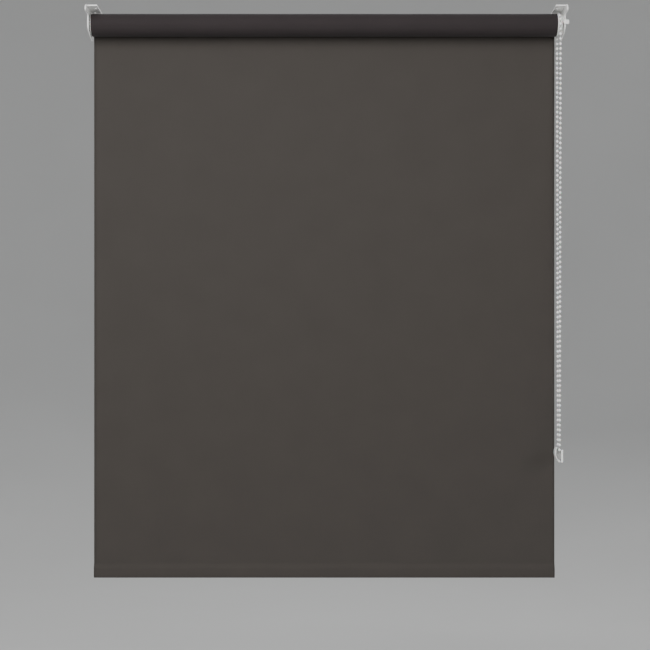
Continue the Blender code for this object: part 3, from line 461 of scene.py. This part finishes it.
def make_roll():
    """The wound cloth: a ring section carried once round the axis. Its ends show the wound layers as
    a spiral groove, which sinks where a layer's share of the radius, less the share of the turn, is
    near a whole number. Its outside follows the tube's clamping strip as one faint flat."""
    low, high = extent("fabric_roll", 0)
    bore = ROLL_R - ROLL_DEPTH
    turns = np.arange(ROLL_STEPS)[:, None] / ROLL_STEPS
    climb = np.linspace(0, 1, 34)
    lie = np.linspace(0, 1, 60)
    across = np.concatenate([bore + (ROLL_R - bore) * climb, ROLL_R + 0 * lie[1:-1],
                             ROLL_R + (bore - ROLL_R) * climb])[None, :]
    place = np.concatenate([low + 0 * climb, low + (high - low) * lie[1:-1], high + 0 * climb])[None, :]
    inwards = np.concatenate([1 + 0 * climb, 0 * lie[1:-1], -1 + 0 * climb])[None, :]
    layers = (across - bore) / LAYER
    groove = np.abs(2 * np.mod(layers - turns, 1) - 1) ** 5
    uneven = 0.12 * np.sin(2.3 * layers) + 0.14
    x = place + inwards * MM * (0.34 * groove + uneven)
    flat = 0.1 * MM * np.exp(-((np.mod(turns - 0.31, 1) - 0.5) / 0.02) ** 2)
    sway = 0.04 * MM * (1 + np.sin(TURN * (place - low) / 0.19 + TURN * turns))
    radius = across - (across > ROLL_R - 0.2 * LAYER) * (flat + sway)
    angle = TURN * turns
    points = np.stack([x + 0 * angle, radius * np.sin(angle), AXIS_Z - radius * np.cos(angle)], axis=-1)
    faces, row, column = grid_faces(*points.shape[:2], (True, True))
    flat_x = np.append(place[0] + across[0], place[0, 0] + across[0, 0])
    uv = np.stack([flat_x[column], row / ROLL_STEPS * TURN * ROLL_R], axis=-1)
    roll = new_piece("wound_cloth", points, faces.tolist(), [CLOTH_BACK], uv, crease=50)
    return stand_for(roll, "roller", "fabric_back", "fabric_roll")


LAP_ANGLE = math.radians(75)     # how far up the roll's back the hanging cloth is followed
LAP_CLOSER = 0.9 * MM            # how much nearer the axis the lap is at its top
CLOTH_IN_HEM = 1.6 * MM          # how far it goes down between the hem's two layers


def make_cloth(hem):
    """The hanging cloth, and the lap that leads to it over the roll's back, on an arc whose radius
    grows until it clears the wound layers. From the axis down it hangs straight. Very long shallow
    waves, drawn tight at the roll and at the hem, and edges that curl a little towards the window are
    added to its depth."""
    drop = AXIS_Z - CLOTH_BOTTOM + CLOTH_IN_HEM
    lead = np.linspace(-LAP_ANGLE * CLOTH_Y, 0, 24, endpoint=False)
    along = np.concatenate([lead, np.linspace(0, drop, 150)])[:, None]
    share = np.linspace(0, 1, 130)[None, :]
    x = CLOTH_X[0] + (CLOTH_X[1] - CLOTH_X[0]) * share + 0 * along
    turned = np.clip(-along / CLOTH_Y, 0, None)
    radius = CLOTH_Y - LAP_CLOSER * (turned / LAP_ANGLE) ** 1.5
    hanging = np.clip(along, 0, None) / drop
    slack = np.sin(math.pi * hanging) ** 0.8
    waves = (0.45 * np.sin(TURN * (1.35 * share + 0.12))
             + 0.22 * np.sin(TURN * (3.1 * share + 0.4 * hanging))
             + 0.12 * np.sin(TURN * (0.7 * hanging + 5.2 * share + 0.3)))
    curl = 0.7 * (np.abs(2 * share - 1) ** 14)
    y = radius * np.cos(turned) + MM * slack * (waves + curl)
    z = AXIS_Z + radius * np.sin(turned) - np.clip(along, 0, None)
    points = np.stack([x, y, z + 0 * share], axis=-1)

    def length_of_cloth(name, first, end):
        faces, row, column = grid_faces(end - first, len(share[0]))
        uv = np.stack([x[0][column], along[first:end, 0][row]], axis=-1)
        piece = new_piece(name, points[first:end], faces.tolist(), [CLOTH_FACE, CLOTH_BACK], uv,
                          closed=False)
        return stand_for(thickened(piece, 0), "mount", "fabric_face", "fabric_sheet")

    lap = length_of_cloth("cloth_lap", 0, len(lead) + 1)
    cloth = length_of_cloth("hanging_cloth", len(lead), len(along))
    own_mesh(cloth)


NECK = 0.55 * MM           # half the pocket's depth at its weld
WELD_SINKS, WELD_WIDTH, WELD_BELOW = 0.12 * MM, 0.6 * MM, 2 * MM


def make_hem():
    """The pocket round the weight bar, carried along X. Its two layers are welded together a little
    above the bar. They part on a smooth curve, three times the share's square less twice its cube, and
    close round the bar on a rounded oblong, whose depth is the root of the cosine and whose height
    is nearly the sine. The weld sinks in as a faint line, and the cloth between it and the bar pulls
    very slightly in and out along the width."""
    (front, back), (foot, top) = extent("hem_pocket", 1), extent("hem_pocket", 2)
    low, high = extent("hem_pocket", 0)
    half_depth, half_height = (back - front) / 2, (top - foot) / 2
    start = math.asin(0.5**1.25)
    angle = np.linspace(start, -math.pi / 2, 40)
    bar_depth = half_depth * np.cos(angle).clip(0) ** 0.5
    bar_below = half_height * (1 - np.sign(angle) * np.abs(np.sin(angle)) ** 0.8)
    share = np.linspace(0, 1, 26)[:-1]
    neck_below = -WELD_ABOVE + (WELD_ABOVE + bar_below[0]) * share
    neck_depth = NECK + (bar_depth[0] - NECK) * (3 * share**2 - 2 * share**3)
    below = np.concatenate([neck_below, bar_below])
    depth = np.concatenate([neck_depth, bar_depth])
    weld = WELD_SINKS * np.exp(-((below + WELD_ABOVE - WELD_BELOW) / WELD_WIDTH) ** 2)
    below = np.concatenate([below, below[-2::-1]])[None, :]
    side = np.repeat([-1, 1], [len(depth), len(depth) - 1])[None, :]
    depth = np.concatenate([depth - weld, (depth - weld)[-2::-1]])[None, :]
    lie = np.linspace(0, 1, 160)[:, None]
    pull = 0.06 * MM * np.sin(TURN * 7.3 * lie) * np.exp(-((below - 1 * MM) / (5 * MM)) ** 2)
    x = low + (high - low) * lie
    points = np.stack([x + 0 * depth, CLOTH_Y + side * (depth - pull), top - below + 0 * x], axis=-1)
    faces, row, column = grid_faces(*points.shape[:2], (False, True), flip=True)
    girth = np.concatenate([[0], np.cumsum(np.hypot(np.diff((side * depth)[0]), np.diff(below[0])))])
    girth = np.append(girth, girth[-1] + 2 * depth[0, 0])
    uv = np.stack([x[:, 0][row], girth[column]], axis=-1)
    hem = new_piece("hem", points, faces.tolist(), [CLOTH_FACE, CLOTH_BACK], uv, closed=False)
    return stand_for(thickened(hem, -1), "hem", "fabric_face", "hem_pocket")


# Drive

def pocketed(name, finish, height, profile, pockets, pitch_r, tooth_r, low, high, body, slot, node):
    """A wheel for the chain: a closed outline in radius and X carried round the axis. Between low and
    high the floor of its groove sinks where a ball's sphere reaches below it: the sphere's near
    side lies at the pitch radius times the cosine of the angle to the pocket, less the root of
    what the sphere's square radius leaves after the two sideways distances."""
    steps = pockets * POCKET_STEPS
    angle = (np.arange(steps) * TURN / steps)[:, None]
    floor_x = np.linspace(high, low, 16)
    at = next(i for i, (r, _) in enumerate(profile) if abs(r - tooth_r) < 1e-9)
    across = np.stack([0 * floor_x + tooth_r, floor_x], 1)
    outline = np.concatenate([profile[:at], across, profile[at + 2:]])
    radius, x = outline[:, 0][None, :], outline[:, 1][None, :]
    off = np.mod(angle + TURN / pockets / 2, TURN / pockets) - TURN / pockets / 2
    left = POCKET_R**2 - (x - CHAIN_X) ** 2 - (pitch_r * np.sin(off)) ** 2
    sunk = pitch_r * np.cos(off) - np.sqrt(np.clip(left, 0, None))
    floor = (x <= high + 1e-9) & (x >= low - 1e-9) & (np.abs(radius - tooth_r) < 1e-9)
    radius = np.where(floor & (left > 0), np.minimum(radius, sunk), radius)
    points = np.stack([x + 0 * angle, radius * np.sin(angle), height - radius * np.cos(angle)], axis=-1)
    faces, _, _ = grid_faces(*points.shape[:2], (True, True))
    wheel = new_piece(name, points, faces.tolist(), [finish], crease=38)
    return stand_for(wheel, body, slot, node)


def make_wheels():
    """The chain wheel with its hub, and the tensioner's pulley."""
    low, high = CHAIN_X - GROOVE_HALF, CHAIN_X + GROOVE_HALF
    web, rim = low - 1.2 * MM, high + 0.9 * MM
    hub_end = extent("chain_wheel", 0)[0]
    tooth_r = WHEEL_R - TOOTH_BELOW
    flange_r, rim_r = WHEEL_R + 1.1 * MM, WHEEL_R + 0.3 * MM
    body = [(flange_r, low), (flange_r, web), (HUB_R, web), (HUB_R, hub_end),
            (WHEEL_BORE_R, hub_end), (WHEEL_BORE_R, rim), (rim_r, rim), (rim_r, high)]
    corners = rounded(body, 0.25 * MM).tolist()
    profile = np.array(corners + [(tooth_r, high), (tooth_r, low)])
    pocketed("chain_wheel_white", WHITE_ABS, AXIS_Z, profile, WHEEL_POCKETS, WHEEL_R, tooth_r, low,
             high, "roller", "white_plastic", "chain_wheel")
    web, rim = low - 0.6 * MM, high + 0.6 * MM
    lip, tooth_r = PULLEY_R - 0.3 * MM, PULLEY_R - TOOTH_BELOW
    body = [(lip, low), (lip, web), (PULLEY_BORE_R, web), (PULLEY_BORE_R, rim), (lip, rim), (lip, high)]
    corners = rounded(body, 0.15 * MM).tolist()
    profile = np.array(corners + [(tooth_r, high), (tooth_r, low)])
    pocketed("pulley_grey", GREY_ABS, PULLEY_Z, profile, PULLEY_POCKETS, PULLEY_R, tooth_r, low, high,
             "tension_pulley", "grey_plastic", "tensioner_pulley")


# Idle end

def make_idle_spring():
    """The spring behind the idle pin."""
    spring = eased("idle_pin_spring", "idle_pin_spring_wire", SPRING_WIRE, "roller", "spring_steel",
                   0.05 * MM, 1, 80)
    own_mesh(spring)


# Studio: each light's name, watts, width and height, and place
LIGHTS = (("key", 46, (1.8, 1.6), (-0.5, -1.7, 0.25)),
          ("fill", 26, (1.4, 1.2), (2.8, -1.3, 0.1)),
          ("back", 48, (2.6, 1.6), (0.6, 3.2, 1.8)))
LIT = (0, 0, -0.45)        # the point that the lights face
AMBIENT = 0.52
FLOOR_Z, FLOOR_R, RISE_R, WALL_TOP = -1.4, 3, 4, 7


def add_studio():
    """A pale floor that rises through a quarter circle into a wall all round, and the lights."""
    turns = (np.arange(96) * TURN / 96)[:, None]
    bend = np.linspace(0, 1, 24)[1:] * math.pi / 2
    wall_r = FLOOR_R + RISE_R
    out = np.concatenate([np.linspace(0, FLOOR_R, 8), FLOOR_R + RISE_R * np.sin(bend),
                          [wall_r, wall_r]])[None, :]
    up = np.concatenate([np.zeros(8), RISE_R * (1 - np.cos(bend)), [RISE_R + 1, WALL_TOP]])[None, :]
    points = np.stack([out * np.cos(turns), out * np.sin(turns), up + FLOOR_Z + 0 * turns], axis=-1)
    faces, _, _ = grid_faces(*points.shape[:2], (True, False))
    finish = plain_finish("matt_studio_paint", ("D6D6D5", "DADAD9"), (0.85, 0.95), 4 * MM, 0.05 * MM,
                          patch=0.8)
    floor = new_piece("studio_floor", points, faces.tolist(), [finish], closed=True, crease=60)
    world = bpy.data.worlds.new("studio")
    world.use_nodes = True
    backdrop = world.node_tree.nodes["Background"]
    backdrop.inputs["Color"].default_value = linear("F2F4F6")
    backdrop.inputs["Strength"].default_value = AMBIENT
    bpy.context.scene.world = world
    for name, power, size, place in LIGHTS:
        data = bpy.data.lights.new(name, "AREA")
        data.shape = "RECTANGLE"
        data.size, data.size_y = size
        data.energy = power
        lamp = bpy.data.objects.new(name, data)
        lamp.location = place
        target = np.array(LIT) - np.array(place)
        yaw = math.atan2(target[1], target[0]) - math.pi / 2
        pitch = math.atan2(target[2], math.hypot(target[0], target[1])) + math.pi / 2
        lamp.rotation_euler = (pitch, 0, yaw)
        bpy.context.scene.collection.objects.link(lamp)


add_camera()
make_chain()
roll = make_roll()
make_cloth(make_hem())
make_wheels()

for side in ("left", "right"):
    eased(f"{side}_bracket", f"{side}_bracket_white", POWDER_COAT, "mount", "painted_steel",
          0.35 * MM, 3)
for node, body, width in (("idle_bush", "mount", 0.15 * MM), ("drive_core", "mount", 0.25 * MM),
                          ("release_latch", "latch", 0.2 * MM), ("tensioner_base", "mount", 0.4 * MM),
                          ("tensioner_cover", "mount", 0.35 * MM)):
    eased(node, f"{node}_white", WHITE_ABS, body, "white_plastic", width)
eased("tensioner_cradle", "tensioner_cradle_grey", GREY_ABS, "mount", "grey_plastic", 0.2 * MM)

make_idle_spring()

for finish, nodes in (
        (ZINC_STEEL, ("idle_pin", "core_clip", "latch_pin", "tensioner_axle")),
        (SPRING_WIRE, ("idle_pin_spring", "clutch_spring_inner", "clutch_spring_outer")),
        (DARK_NYLON, ("bar_cap_left", "bar_cap_right")),
        (EXTRUDED_ALUMINIUM, ("roller_tube", "bottom_bar")),
        (WHITE_ABS, ("idle_spring_seat", "idle_end_plug", "idle_bush", "drive_core", "chain_wheel",
                     "release_latch", "tensioner_base", "tensioner_cover")),
        (GREY_ABS, ("tube_crown", "fabric_spline", "tensioner_cradle", "tensioner_pulley")),
        (ACETAL_BALLS, CHAIN_NODES),
        (POWDER_COAT, ("left_bracket", "right_bracket")),
        (CLOTH_FACE, ("fabric_sheet", "hem_pocket")),
        (CLOTH_BACK, ("fabric_roll",))):
    for node in nodes:
        for slot in NODES[node].material_slots:
            slot.material = finish

add_studio()
